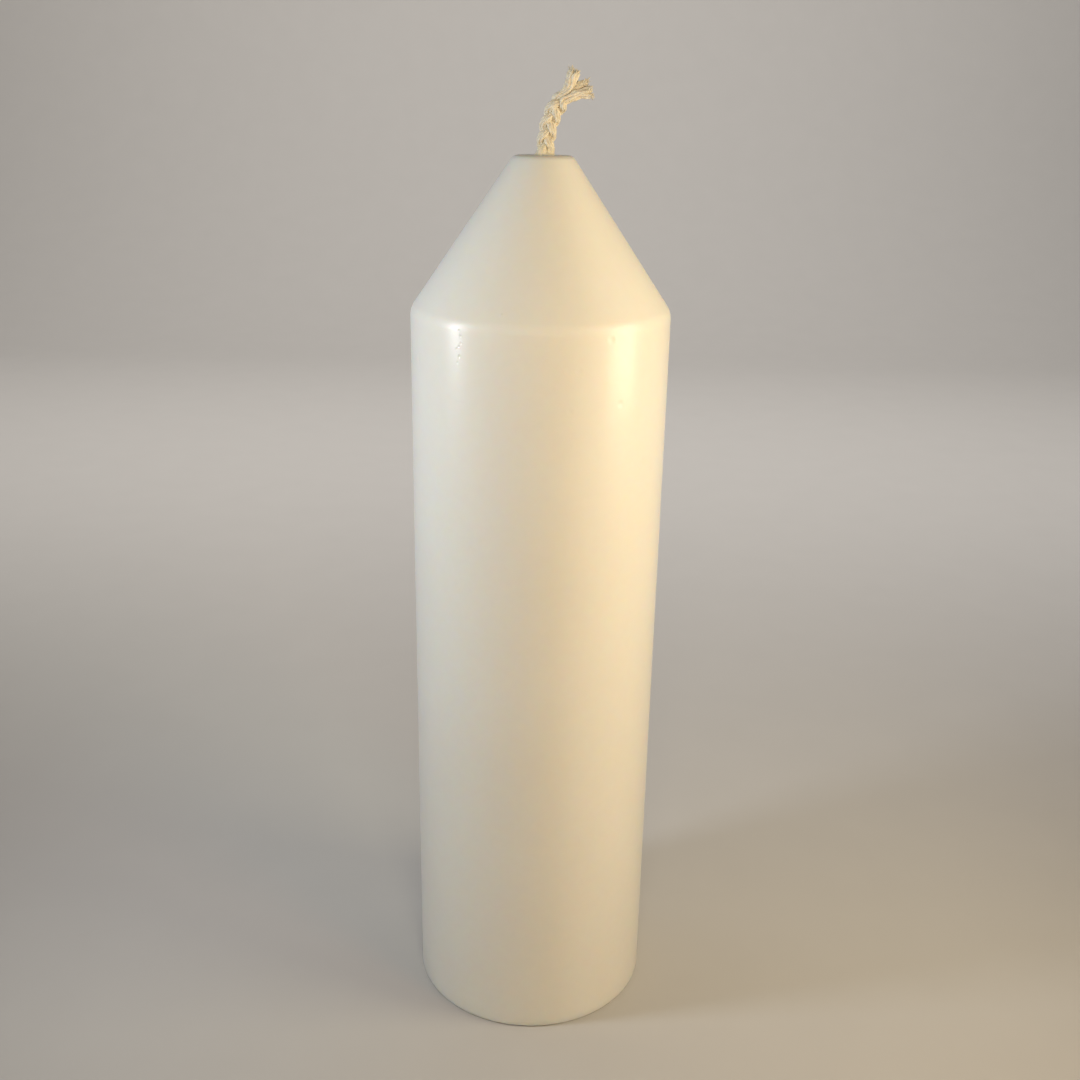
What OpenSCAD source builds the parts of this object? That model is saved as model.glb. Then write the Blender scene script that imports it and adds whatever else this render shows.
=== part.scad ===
// Unity candle: a tall wax pillar with a tapered top and a thick plaited cotton wick.
// Millimetres, +Z up. The origin is the centre of the face that the candle stands on.

/* [Wax pillar] */
// Diameter of the straight wall
body_d = 64; // [56:1:90]
// Height of the straight wall, from the base to the corner of the shoulder
wall_h = 192; // [120:1:260]
// Height of the tapered top, from the shoulder to the small flat
taper_h = 36; // [20:1:50]
// Diameter of the small flat, to the corner of its rim
flat_d = 14; // [13:0.5:20]
// Rounding of the shoulder
shoulder_r = 5; // [1:0.5:8]
// Rounding of the rim of the small flat
rim_r = 2; // [0.5:0.25:2.5]
// Rounding of the edge round the base
foot_r = 1; // [0.5:0.25:3]

/* [Wick] */
// Distance of the wick from the middle of the candle
wick_x = 0.4; // [-1:0.1:1]
// Width of the plait, across its flat side
wick_w = 4.2; // [4.2:0.1:5]
// Thickness of the plait
wick_t = 3.4; // [3.4:0.1:4]
// Diameter of one strand of the plait
strand_d = 1.32; // [1:0.02:1.34]
// Length of wick in which each strand crosses over and comes back
plait_pitch = 10; // [9:0.5:14]
// Length of wick that the wax has climbed, above the small flat
collar_h = 2.2; // [1:0.1:2.4]

/* [Wick tab] */
// Diameter of the tab's disc
tab_d = 20; // [18:1:26]
// Thickness of the tab's sheet metal
tab_t = 0.3; // [0.2:0.05:0.5]
// Height of the neck that grips the foot of the wick
neck_h = 8; // [5:0.5:14]
// Height of the stiffening bead pressed into the disc
bead_h = 0.4; // [0.2:0.1:0.5]

/* [Base recess] */
// Depth of the recess that the tab is let into
recess_h = 3; // [2.6:0.1:5]
// Gap between the face of the wax plug and the surface that the candle stands on
plug_rise = 0.2; // [0.1:0.1:0.4]

/* [Hidden] */

body_r = body_d / 2;
flat_r = flat_d / 2;
wax_h = wall_h + taper_h;

// Clearance all round a part that is slid or poured into another
fit = 0.05;
// Overlap of one cut or joined shape with the next
lap = 1;

// The wick's channel clears the widest part of the plait.
channel_r = norm([wick_w, wick_t]) / 2 - strand_d / 2 + 0.18;
neck_r = channel_r + tab_t;
// The drawn foot of the neck spreads by this much
neck_flare = 0.8;
recess_r = tab_d / 2 + 0.5;
// The disc's underside. The bead rises from the disc to just under the roof of the recess.
tab_z = recess_h - tab_t - bead_h - fit;
bead_in_r = 6;
bead_slope = 0.6;
bead_top_w = 0.8;
// Height at which the neck's flare has run out, with its clearance
flare_top = tab_z + tab_t + neck_flare + 3 * fit;

// Wax drawn up the wick: a thin sleeve that spreads at its foot
collar_t = 0.2;
collar_spread = 0.6;

// Centre line of the stub from the small flat up, with a point each 2.6 mm of its length
ROUTE_STEP = 2.6;
STUB = [[0, 0, 0], [0.05, 0, 2.6], [0.4, 0, 5.2], [0.9, 0, 7.8], [1.9, 0, 10.2], [3.5, 0, 12.1]];
// The three loose ends: one stands up, two reach out to the side one behind the other
TAILS = [
    [[4.3, 0, 14.9], [5.2, 0, 17.2], [6.3, 0, 19.2]],
    [[5.8, 0.8, 13.8], [8.2, 0.7, 15], [10.6, 0.5, 15.8]],
    [[6, -0.8, 12.9], [8.5, -0.7, 13.6], [11, -0.5, 14]]
];
// Width of each loose end at its tip, where its yarns have spread
TIP_D = [3, 2.2, 2.2];
// Stretch over which a strand leaves the plait, along the wick from the small flat
LOOSE_FROM = 12;
LOOSE_TO = 17;
// The strands stop crossing this far along, where strand a lies at the outer edge of the plait
CREST_AT = 13.2;

STRAND_SIDES = 8;
RINGS_PER_PITCH = 12;
RINGS_PER_STEP = 4;
ROUND_FN = 128;
ARC_STEPS = 10;

// Points of a fillet of radius r where the line a-b meets the line b-c
function fillet(a, b, c, r) =
    let (
        u = (a - b) / norm(a - b),
        v = (c - b) / norm(c - b),
        half = acos(u * v) / 2,
        centre = b + (u + v) / norm(u + v) * r / sin(half),
        from = b + u * r / tan(half) - centre,
        to = b + v * r / tan(half) - centre,
        sweep = 180 - 2 * half,
        turn = cross(from, to) > 0 ? 1 : -1
    )
    [for (i = [0:ARC_STEPS])
        let (t = turn * sweep * i / ARC_STEPS)
        centre + [from.x * cos(t) - from.y * sin(t), from.x * sin(t) + from.y * cos(t)]];

// 0 before a, 1 after b, and smooth between them
function ease(a, b, s) =
    let (t = max(0, min(1, (s - a) / (b - a))))
    t * t * (3 - 2 * t);

// Smooth curve through the points p, at u points along from the first
function along(p, u) =
    let (
        n = len(p) - 1,
        k = max(0, min(n - 1, floor(u))),
        t = u - k,
        b = p[k],
        c = p[k + 1],
        a = k > 0 ? p[k - 1] : b - [0, 0, ROUTE_STEP],
        d = k < n - 1 ? p[k + 2] : 2 * c - b
    )
    b + ((c - a) * t + (2 * a - 5 * b + 4 * c - d) * t * t + (3 * b - a - 3 * c + d) * t * t * t) / 2;

// Centre line of strand i. s runs along the wick, with 0 at the small flat.
function route(i, s) =
    [wick_x, 0, wax_h] + (s < 0 ? [0, 0, s] : along(concat(STUB, TAILS[i]), s / ROUTE_STEP));

// Radius of strand i
function strand_r(i, s) =
    let (end = (len(STUB) + len(TAILS[i]) - 1) * ROUTE_STEP)
    strand_d / 2 + (TIP_D[i] - strand_d) / 2 * max(0, s - LOOSE_FROM) / (end - LOOSE_FROM);

// One ring of strand i, in the plane across the wick
function ring(i, s) =
    let (
        dir = route(i, s + ROUTE_STEP / 2) - route(i, s - ROUTE_STEP / 2),
        side = cross([0, 1, 0], dir) / norm(cross([0, 1, 0], dir)),
        back = cross(dir, side) / norm(dir),
        phase = 360 * min(0, s - CREST_AT) / plait_pitch + 120 * i - 90,
        hold = 1 - ease(LOOSE_FROM, LOOSE_TO, s),
        across = (wick_w - strand_d) / 2 * sin(phase) * hold,
        through = (wick_t - strand_d) / 2 * sin(2 * phase) * hold
    )
    [for (k = [0:STRAND_SIDES - 1])
        let (a = 360 * k / STRAND_SIDES)
        route(i, s)
            + side * (across + strand_r(i, s) * cos(a))
            + back * (through + strand_r(i, s) * sin(a))];

// Half outline of the candle, from the middle of the base out and up to the middle of the flat
function pillar_outline() =
    let (
        foot = [body_r, 0],
        shoulder = [body_r, wall_h],
        rim = [flat_r, wax_h]
    )
    concat(
        [[0, 0]],
        fillet([0, 0], foot, shoulder, foot_r),
        fillet(foot, shoulder, rim, shoulder_r),
        fillet(shoulder, rim, [0, wax_h], rim_r),
        [[0, wax_h]]
    );

// Half outline of the wax that has climbed the wick: a quarter hollow that thins upwards
function collar_outline() =
    concat(
        [[0, -lap], [channel_r + collar_t + collar_spread, -lap]],
        [for (i = [0:ARC_STEPS])
            let (a = 90 * i / ARC_STEPS)
            [channel_r + collar_t + collar_spread * (1 - sin(a)), collar_h * (1 - cos(a))]],
        [[0, collar_h]]
    );

// Underside of the disc or of its bead, from the edge of the wick's hole outwards
function disc_underside(from_r, to_r) =
    [
        [from_r, 0],
        [bead_in_r, 0],
        [bead_in_r + bead_slope, bead_h],
        [bead_in_r + bead_slope + bead_top_w, bead_h],
        [bead_in_r + 2 * bead_slope + bead_top_w, 0],
        [to_r, 0]
    ];

function reversed(p) = [for (i = [len(p) - 1:-1:0]) p[i]];

// The wax body: straight wall, rounded shoulder, cone, and a small flat with wax up the wick
module wax_pillar() {
    color([0.93, 0.9, 0.84])
    difference() {
        union() {
            rotate_extrude($fn = ROUND_FN) polygon(pillar_outline());
            translate([wick_x, 0, wax_h])
                rotate_extrude($fn = ROUND_FN) polygon(collar_outline());
        }
        translate([wick_x, 0, 0]) {
            translate([0, 0, -lap])
                cylinder(r = channel_r, h = wax_h + collar_h + 2 * lap, $fn = ROUND_FN);
            translate([0, 0, -lap])
                cylinder(r = recess_r, h = recess_h + lap, $fn = ROUND_FN);
            cylinder(r = neck_r + fit, h = tab_z + neck_h + fit, $fn = ROUND_FN);
            cylinder(r1 = neck_r + flare_top, r2 = neck_r + fit, h = flare_top - fit, $fn = ROUND_FN);
        }
    }
}

// The wax that was poured over the tab and seals the recess
module base_plug() {
    color([0.9, 0.86, 0.78])
    translate([wick_x, 0, 0])
        rotate_extrude($fn = ROUND_FN)
            polygon(concat(
                [[0, plug_rise], [recess_r - fit, plug_rise]],
                [for (p = reversed(disc_underside(0, recess_r - fit))) p + [0, tab_z - fit]]
            ));
}

// The metal tab that anchors the wick: a disc with a pressed bead and a drawn neck
module wick_tab() {
    color([0.72, 0.73, 0.75])
    translate([wick_x, 0, tab_z])
        rotate_extrude($fn = ROUND_FN)
            polygon(concat(
                disc_underside(channel_r, tab_d / 2),
                [for (p = reversed(disc_underside(neck_r + neck_flare, tab_d / 2))) p + [0, tab_t]],
                [
                    [neck_r, tab_t + neck_flare],
                    [neck_r, neck_h],
                    [channel_r, neck_h]
                ]
            ));
}

// One of the three strands: from the underside of the tab up through the wax to its loose tip
module wick_strand(i) {
    buried = wax_h - tab_z;
    buried_rings = ceil(buried / plait_pitch * RINGS_PER_PITCH);
    stub_rings = (len(STUB) + len(TAILS[i]) - 1) * RINGS_PER_STEP;
    n = STRAND_SIDES;
    rings = concat(
        [for (k = [0:buried_rings]) ring(i, buried * (k / buried_rings - 1))],
        [for (k = [1:stub_rings]) ring(i, ROUTE_STEP * k / RINGS_PER_STEP)]
    );
    last = len(rings) - 1;
    walls = [for (k = [0:last - 1], j = [0:n - 1])
        let (a = k * n + j, b = k * n + (j + 1) % n)
        [a, a + n, b + n, b]];
    foot = [for (j = [0:n - 1]) j];
    tip = [for (j = [n - 1:-1:0]) last * n + j];
    color([0.88, 0.82, 0.71])
        polyhedron(points = [for (r = rings) each r], faces = concat([foot, tip], walls));
}

wax_pillar();
base_plug();
wick_tab();
wick_strand(0);  // wick_strand_a
wick_strand(1);  // wick_strand_b
wick_strand(2);  // wick_strand_c
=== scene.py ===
"""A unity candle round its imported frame: wax pillar, poured base plug, pressed wick tab and plaited wick."""
import logging
import math
import random
from dataclasses import dataclass, field
from enum import Enum

import bmesh
import bpy
import numpy as np
from mathutils import Matrix, Vector, noise


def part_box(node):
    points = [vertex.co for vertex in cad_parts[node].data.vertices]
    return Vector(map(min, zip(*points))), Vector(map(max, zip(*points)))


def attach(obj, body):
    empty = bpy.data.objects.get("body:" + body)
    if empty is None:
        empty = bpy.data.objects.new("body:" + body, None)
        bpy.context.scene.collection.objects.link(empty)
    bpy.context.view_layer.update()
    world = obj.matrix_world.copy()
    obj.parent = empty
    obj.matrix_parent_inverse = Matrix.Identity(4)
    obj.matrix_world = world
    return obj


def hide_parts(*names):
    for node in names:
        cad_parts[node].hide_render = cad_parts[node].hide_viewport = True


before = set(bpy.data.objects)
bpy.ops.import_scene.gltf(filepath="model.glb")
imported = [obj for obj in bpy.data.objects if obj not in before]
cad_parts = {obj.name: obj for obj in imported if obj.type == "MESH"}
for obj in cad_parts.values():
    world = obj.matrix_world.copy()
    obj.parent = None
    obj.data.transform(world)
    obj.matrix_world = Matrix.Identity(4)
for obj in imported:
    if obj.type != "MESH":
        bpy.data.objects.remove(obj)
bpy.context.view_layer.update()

LOG = logging.getLogger("unity_candle")
MM = 0.001
TURN = 2 * math.pi
EIGHTHS = 8
WELD = 1e-7
TUBE_WELD = 1e-8
WAX_IOR = 1.44
GOLDEN_TURN = 2.4
ROOT = "root"
Color = tuple[float, float, float]
Point2 = tuple[float, float]
Point3 = tuple[float, float, float]
Socket = bpy.types.NodeSocket


class Slot(Enum):
    """The record's material slots."""

    IVORY_WAX = "ivory_wax"
    PLUG_WAX = "plug_wax"
    TINNED_STEEL = "tinned_steel"
    WICK_COTTON = "wick_cotton"


class MarkKind(Enum):
    """What handling and pouring have left in the wax."""

    PIT = "pit"
    DENT = "dent"
    BUMP = "bump"
    SCUFF = "scuff"


# ---------------------------------------------------------------- small helpers


def ease(low: float, high: float, value: np.ndarray) -> np.ndarray:
    """Rises smoothly from 0 at low to 1 at high.

    Args:
        low: Where the rise starts.
        high: Where the rise ends.
        value: One number or an array of them.

    Returns:
        The eased value, with the shape of value.
    """
    t = np.clip((value - low) / (high - low), 0.0, 1.0)
    return t * t * (3 - 2 * t)


def fillet(before: Point2, corner: Point2, after: Point2, radius: float, steps: int) -> list[Point2]:
    """Rounds the corner of an outline.

    Args:
        before: Point ahead of the corner.
        corner: The sharp corner.
        after: Point past the corner.
        radius: Radius of the rounding.
        steps: Number of edges in the rounding.

    Returns:
        Points of the rounding, in order.
    """
    b = np.array(corner)
    u = np.array(before) - b
    v = np.array(after) - b
    u /= np.linalg.norm(u)
    v /= np.linalg.norm(v)
    half = math.acos(float(u @ v)) / 2
    middle = (u + v) / np.linalg.norm(u + v)
    centre = b + middle * radius / math.sin(half)
    start = b + u * radius / math.tan(half) - centre
    end = b + v * radius / math.tan(half) - centre
    sweep = math.atan2(start[0] * end[1] - start[1] * end[0], float(start @ end))
    points = []
    for i in range(steps + 1):
        t = sweep * i / steps
        points.append((
            float(centre[0] + start[0] * math.cos(t) - start[1] * math.sin(t)),
            float(centre[1] + start[0] * math.sin(t) + start[1] * math.cos(t)),
        ))
    return points


def spaced(start: Point2, end: Point2, gap: float) -> list[Point2]:
    """Splits a straight stretch of an outline into even steps.

    Args:
        start: First end, left out of the result.
        end: Second end, left out of the result.
        gap: Longest step.

    Returns:
        The points between the two ends.
    """
    count = max(1, math.ceil(math.dist(start, end) / gap))
    return [
        (start[0] + (end[0] - start[0]) * i / count, start[1] + (end[1] - start[1]) * i / count)
        for i in range(1, count)
    ]


def spin_outline(
    bm: bmesh.types.BMesh, outline: list[Point2], axis_x: float, steps: int, closed: bool
) -> None:
    """Turns a half outline into a shell round an upright axis.

    Args:
        bm: Mesh that gets the shell.
        outline: Points as (distance from the axis, height).
        axis_x: Where the axis stands along X.
        steps: Number of faces round the axis.
        closed: Whether the last point joins the first.
    """
    verts = [bm.verts.new((axis_x + r, 0.0, z)) for r, z in outline]
    edges = [bm.edges.new(pair) for pair in zip(verts, verts[1:])]
    if closed:
        edges.append(bm.edges.new((verts[-1], verts[0])))
    older = set(bm.verts) - set(verts)
    bmesh.ops.spin(
        bm, geom=verts + edges, cent=(axis_x, 0, 0), axis=(0, 0, 1), dvec=(0, 0, 0),
        angle=TURN / EIGHTHS, steps=steps // EIGHTHS, use_merge=False, use_duplicate=False,
    )
    for share in (EIGHTHS, EIGHTHS // 2, EIGHTHS // 4):
        part = [v for v in bm.verts if v not in older]
        faces = list({f for v in part for f in v.link_faces})
        rims = list({e for f in faces for e in f.edges})
        copy = bmesh.ops.duplicate(bm, geom=part + rims + faces)["geom"]
        copied = [v for v in copy if isinstance(v, bmesh.types.BMVert)]
        turn = Matrix.Rotation(TURN / share, 3, "Z")
        bmesh.ops.rotate(bm, verts=copied, cent=(axis_x, 0, 0), matrix=turn)
    bmesh.ops.remove_doubles(bm, verts=[v for v in bm.verts if v not in older], dist=WELD)


def finished_object(bm: bmesh.types.BMesh, name: str, sharp_angle: float) -> bpy.types.Object:
    """Makes an object at the origin from a finished bmesh, with smooth shading.

    Args:
        bm: The shape, which is freed.
        name: Name of the piece.
        sharp_angle: Edges that turn by more than this stay crisp, in radians.

    Returns:
        The new object.
    """
    mesh = bpy.data.meshes.new(name)
    bm.to_mesh(mesh)
    bm.free()
    mesh.shade_smooth()
    mesh.set_sharp_from_angle(angle=sharp_angle)
    piece = bpy.data.objects.new(name, mesh)
    bpy.context.scene.collection.objects.link(piece)
    return piece


def settle(piece: bpy.types.Object, node: str) -> None:
    """Rides a piece on the candle in place of its CAD node and reports it.

    Args:
        piece: The finished piece.
        node: The CAD node that it stands for.
    """
    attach(piece, ROOT)
    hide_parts(node)
    LOG.info("%s: %d faces in place of %s", piece.name, len(piece.data.polygons), node)


def coordinates(mesh: bpy.types.Mesh) -> np.ndarray:
    """Reads the vertex positions of a mesh as an array of rows."""
    flat = np.empty(len(mesh.vertices) * 3)
    mesh.vertices.foreach_get("co", flat)
    return flat.reshape(-1, 3)


def normals(mesh: bpy.types.Mesh) -> np.ndarray:
    """Reads the vertex normals of a mesh as an array of rows."""
    flat = np.empty(len(mesh.vertices) * 3)
    mesh.vertices.foreach_get("normal", flat)
    return flat.reshape(-1, 3)


def put_coordinates(mesh: bpy.types.Mesh, rows: np.ndarray) -> None:
    """Writes vertex positions back to a mesh."""
    mesh.vertices.foreach_set("co", rows.reshape(-1))
    mesh.update()


def ripple(points: np.ndarray, wavelength: float, seed: float) -> np.ndarray:
    """Smooth noise at each point.

    Args:
        points: Positions, one row each.
        wavelength: Rough distance from crest to crest.
        seed: Shifts the pattern.

    Returns:
        One value from about -1 to 1 for each point.
    """
    shift = Vector((seed, seed * 1.7, seed * 2.3))
    return np.array([noise.noise(Vector(p) / wavelength + shift) for p in points])


# ---------------------------------------------------------------- finishes


class NodeBench:
    """Lays nodes in one node tree and joins them."""

    def __init__(self, tree: bpy.types.NodeTree) -> None:
        """Takes the tree to work in."""
        self.tree = tree

    def add(self, kind: str, **settings: object) -> bpy.types.Node:
        """Adds a node.

        Args:
            kind: The node's type name.
            **settings: Properties set on the node.

        Returns:
            The node.
        """
        node = self.tree.nodes.new(kind)
        for name, value in settings.items():
            setattr(node, name, value)
        return node

    def join(self, source: Socket, target: Socket) -> None:
        """Links an output to an input."""
        self.tree.links.new(source, target)

    def noise(self, vector: Socket, scale: float | Socket, detail: float) -> Socket:
        """Adds a noise texture.

        Args:
            vector: The coordinates that it reads.
            scale: Its scale, as a number or a socket.
            detail: Octaves of finer detail.

        Returns:
            The noise value.
        """
        node = self.add("ShaderNodeTexNoise")
        node.inputs["Detail"].default_value = detail
        self.join(vector, node.inputs["Vector"])
        if isinstance(scale, Socket):
            self.join(scale, node.inputs["Scale"])
        else:
            node.inputs["Scale"].default_value = scale
        return node.outputs[0]

    def math(self, operation: str, first: object, second: object) -> Socket:
        """Adds a math node.

        Args:
            operation: Name of the operation.
            first: Socket or number.
            second: Socket or number.

        Returns:
            The result.
        """
        node = self.add("ShaderNodeMath", operation=operation)
        for value, target in zip((first, second), node.inputs):
            if isinstance(value, Socket):
                self.join(value, target)
            else:
                target.default_value = value
        return node.outputs[0]

    def span(self, value: Socket, low: float, high: float, to_low: float, to_high: float) -> Socket:
        """Maps one range of values to another, smoothly and clamped.

        Args:
            value: The value to map.
            low: Start of its range.
            high: End of its range.
            to_low: Result at low.
            to_high: Result at high.

        Returns:
            The mapped value.
        """
        node = self.add("ShaderNodeMapRange", interpolation_type="SMOOTHSTEP")
        self.join(value, node.inputs["Value"])
        ends = {"From Min": low, "From Max": high, "To Min": to_low, "To Max": to_high}
        for name, number in ends.items():
            node.inputs[name].default_value = number
        return node.outputs["Result"]

    def blend(self, factor: Socket, first: object, second: object) -> Socket:
        """Mixes two colours by a mask.

        Args:
            factor: 0 gives the first colour, 1 the second.
            first: Colour or socket.
            second: Colour or socket.

        Returns:
            The mixed colour.
        """
        node = self.add("ShaderNodeMix", data_type="RGBA")
        self.join(factor, node.inputs["Factor"])
        for value, target in zip((first, second), (node.inputs[6], node.inputs[7])):
            if isinstance(value, Socket):
                self.join(value, target)
            else:
                target.default_value = (*value, 1.0)
        return node.outputs[2]


class SharedEffect:
    """A node group that is built once and placed in each material with its own values."""

    def start(self, name: str, inputs: list[str], outputs: list[str]) -> NodeBench:
        """Starts the group with named sockets.

        Args:
            name: Name of the group.
            inputs: Names of its inputs. "Vector" takes coordinates and the others take numbers.
            outputs: Names of its outputs, all numbers.

        Returns:
            A bench to work in it.
        """
        self.tree = bpy.data.node_groups.new(name, "ShaderNodeTree")
        for socket in inputs:
            kind = "NodeSocketVector" if socket == "Vector" else "NodeSocketFloat"
            self.tree.interface.new_socket(socket, in_out="INPUT", socket_type=kind)
        for socket in outputs:
            self.tree.interface.new_socket(socket, in_out="OUTPUT", socket_type="NodeSocketFloat")
        return NodeBench(self.tree)

    def place(self, bench: NodeBench, values: dict[str, float]) -> bpy.types.Node:
        """Puts the group in a material.

        Args:
            bench: The material's bench.
            values: The material's own number for each input.

        Returns:
            The group's node.
        """
        node = bench.add("ShaderNodeGroup", node_tree=self.tree)
        for name, value in values.items():
            node.inputs[name].default_value = value
        return node


class WaxBloom(SharedEffect):
    """The clouds, crystal mottling and skin of set wax."""

    def __init__(self) -> None:
        """Builds the group once."""
        bench = self.start(
            "wax_bloom",
            ["Vector", "Cloud Scale", "Mottle Scale", "Skin Scale"],
            ["Cloud", "Mottle", "Height"],
        )
        inside = bench.add("NodeGroupInput").outputs
        outside = bench.add("NodeGroupOutput").inputs
        cloud = bench.noise(inside["Vector"], inside["Cloud Scale"], 3.0)
        mottle = bench.noise(inside["Vector"], inside["Mottle Scale"], 4.0)
        skin = bench.noise(inside["Vector"], inside["Skin Scale"], 2.0)
        height = bench.math("ADD", bench.math("MULTIPLY", mottle, 0.6), bench.math("MULTIPLY", skin, 0.4))
        bench.join(bench.span(cloud, 0.2, 0.8, 0.0, 1.0), outside["Cloud"])
        bench.join(bench.span(mottle, 0.25, 0.75, 0.0, 1.0), outside["Mottle"])
        bench.join(height, outside["Height"])


class FibreTwist(SharedEffect):
    """Fine fibres that wind round a yarn, read from its UV map.

    Fibres is their number round the yarn, Lean their turns for each millimetre along it, and Length
    how quickly they change for each millimetre.
    """

    def __init__(self) -> None:
        """Builds the group once."""
        bench = self.start("fibre_twist", ["Fibres", "Lean", "Length"], ["Fibre", "Height"])
        inside = bench.add("NodeGroupInput").outputs
        outside = bench.add("NodeGroupOutput").inputs
        uv = bench.add("ShaderNodeUVMap", uv_map="yarn")
        split = bench.add("ShaderNodeSeparateXYZ")
        bench.join(uv.outputs["UV"], split.inputs["Vector"])
        lean = bench.math("MULTIPLY", split.outputs["Y"], inside["Lean"])
        across = bench.math("MULTIPLY", bench.math("ADD", split.outputs["X"], lean), inside["Fibres"])
        along = bench.math("MULTIPLY", split.outputs["Y"], inside["Length"])
        both = bench.add("ShaderNodeCombineXYZ")
        bench.join(across, both.inputs["X"])
        bench.join(along, both.inputs["Y"])
        fine = bench.noise(both.outputs["Vector"], 1.0, 3.0)
        bench.join(bench.span(fine, 0.34, 0.66, 0.0, 1.0), outside["Fibre"])
        bench.join(fine, outside["Height"])


def new_material(name: str) -> tuple[bpy.types.Material, NodeBench, bpy.types.Node]:
    """Starts a node material.

    Args:
        name: Name of the material.

    Returns:
        The material, a bench in it and its shader node.
    """
    material = bpy.data.materials.new(name)
    material.use_nodes = True
    material.node_tree.nodes.clear()
    bench = NodeBench(material.node_tree)
    shader = bench.add("ShaderNodeBsdfPrincipled")
    out = bench.add("ShaderNodeOutputMaterial")
    bench.join(shader.outputs["BSDF"], out.inputs["Surface"])
    return material, bench, shader


def add_bump(
    bench: NodeBench, shader: bpy.types.Node, height: Socket, depth: float, strength: float
) -> None:
    """Gives a shader a bump.

    Args:
        bench: The material's bench.
        shader: The shader node.
        height: The height map.
        depth: Height of a full step, in metres.
        strength: How much of it shows.
    """
    bump = bench.add("ShaderNodeBump")
    bump.inputs["Distance"].default_value = depth
    bump.inputs["Strength"].default_value = strength
    bench.join(height, bump.inputs["Height"])
    bench.join(bump.outputs["Normal"], shader.inputs["Normal"])


@dataclass(frozen=True)
class WaxFinish:
    """Set wax: soft light inside and a satin skin, which may be duller on the cone and polished below it."""

    name: str
    pale: Color
    deep: Color
    smooth: float
    dull: float
    skin_depth: float
    matte_from: float = 0.189
    matte_to: float = 0.196
    matte_rise: float = 0.0
    cloud_scale: float = 26.0
    cloud_tint: float = 0.55
    mottle_scale: float = 420.0
    mottle_tint: float = 0.2
    skin_scale: float = 1500.0
    skin_strength: float = 0.35
    scatter: Color = (1.0, 0.72, 0.46)
    scatter_depth: float = 4.5 * MM
    scatter_weight: float = 0.6
    polish: float = 0.0
    polish_roughness: float = 0.19
    cone_polish: float = 0.1

    def material(self, bloom: WaxBloom) -> bpy.types.Material:
        """Makes the material.

        Args:
            bloom: The shared wax effect.

        Returns:
            The material.
        """
        material, bench, shader = new_material(self.name)
        here = bench.add("ShaderNodeTexCoord").outputs["Object"]
        effect = bloom.place(bench, {
            "Cloud Scale": self.cloud_scale, "Mottle Scale": self.mottle_scale, "Skin Scale": self.skin_scale,
        })
        bench.join(here, effect.inputs["Vector"])
        height = bench.add("ShaderNodeSeparateXYZ")
        bench.join(here, height.inputs["Vector"])
        cloud = bench.math("MULTIPLY", effect.outputs["Cloud"], self.cloud_tint)
        mottle = bench.math("MULTIPLY", effect.outputs["Mottle"], self.mottle_tint)
        tint = bench.math("ADD", cloud, mottle)
        bench.join(bench.blend(tint, self.pale, self.deep), shader.inputs["Base Color"])
        skin = bench.span(effect.outputs["Cloud"], 0.0, 1.0, self.smooth, self.dull)
        rise = bench.span(height.outputs["Z"], self.matte_from, self.matte_to, 0.0, self.matte_rise)
        bench.join(bench.math("ADD", skin, rise), shader.inputs["Roughness"])
        if self.polish > 0:
            faint = self.cone_polish * self.polish
            shine = bench.span(height.outputs["Z"], self.matte_from, self.matte_to, self.polish, faint)
            bench.join(shine, shader.inputs["Coat Weight"])
            shader.inputs["Coat Roughness"].default_value = self.polish_roughness
            shader.inputs["Coat IOR"].default_value = WAX_IOR
        shader.inputs["IOR"].default_value = WAX_IOR
        shader.inputs["Subsurface Weight"].default_value = self.scatter_weight
        shader.inputs["Subsurface Radius"].default_value = self.scatter
        shader.inputs["Subsurface Scale"].default_value = self.scatter_depth
        add_bump(bench, shader, effect.outputs["Height"], self.skin_depth, self.skin_strength)
        return material


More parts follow.
